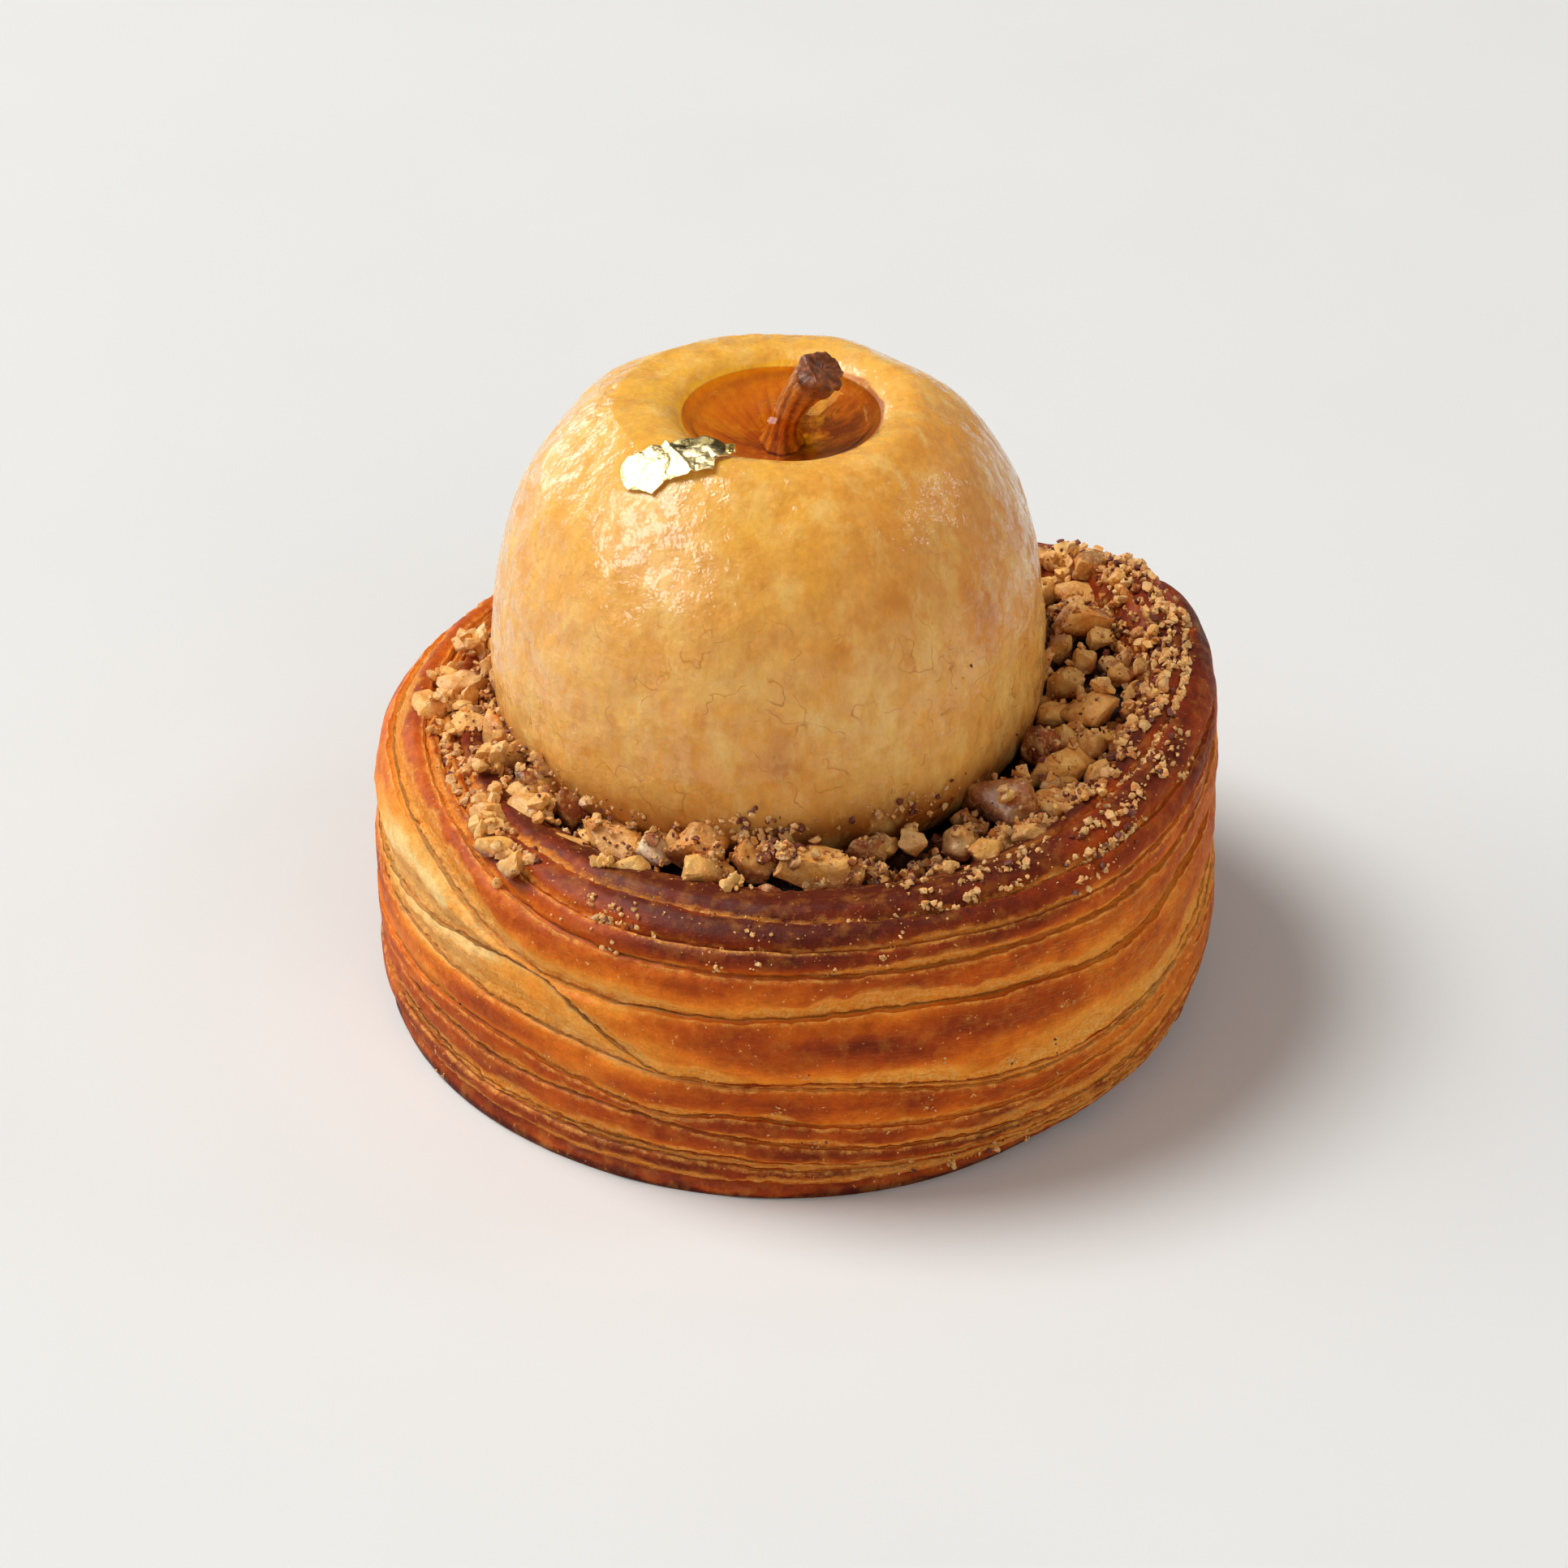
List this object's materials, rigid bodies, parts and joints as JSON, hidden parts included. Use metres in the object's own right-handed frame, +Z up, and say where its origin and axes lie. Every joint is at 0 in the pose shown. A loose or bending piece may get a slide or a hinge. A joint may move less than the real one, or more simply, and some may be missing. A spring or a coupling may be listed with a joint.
{
  "type": "apple tart",
  "caption": "Individual tart: a peeled glazed apple with stalk and gold leaf, set in a ring of laminated pastry filled round with chopped nuts.",
  "frame": {"origin": "on the surface the tart rests on, under the middle of its footprint", "axes": "+Z up, from the base to the stalk; -Y towards the side that the picture shows; +X to the picture's right, where the pastry rim is highest"},
  "size_m": [0.103, 0.1016, 0.0858],
  "materials": {
    "pastry": "baked, brushed with glaze",
    "apple_flesh": "wet glaze",
    "syrup": "clear, wet",
    "stalk": "ribbed, glazed",
    "gold_leaf": "crumpled leaf, mirror bright",
    "nuts": "chopped and toasted"
  },
  "bodies": {
    "root": {"pastry_case": "pastry", "apple": "apple_flesh", "syrup": "syrup", "stalk": "stalk", "gold_leaf": "gold_leaf", "nuts": "nuts"}
  },
  "joints": []
}
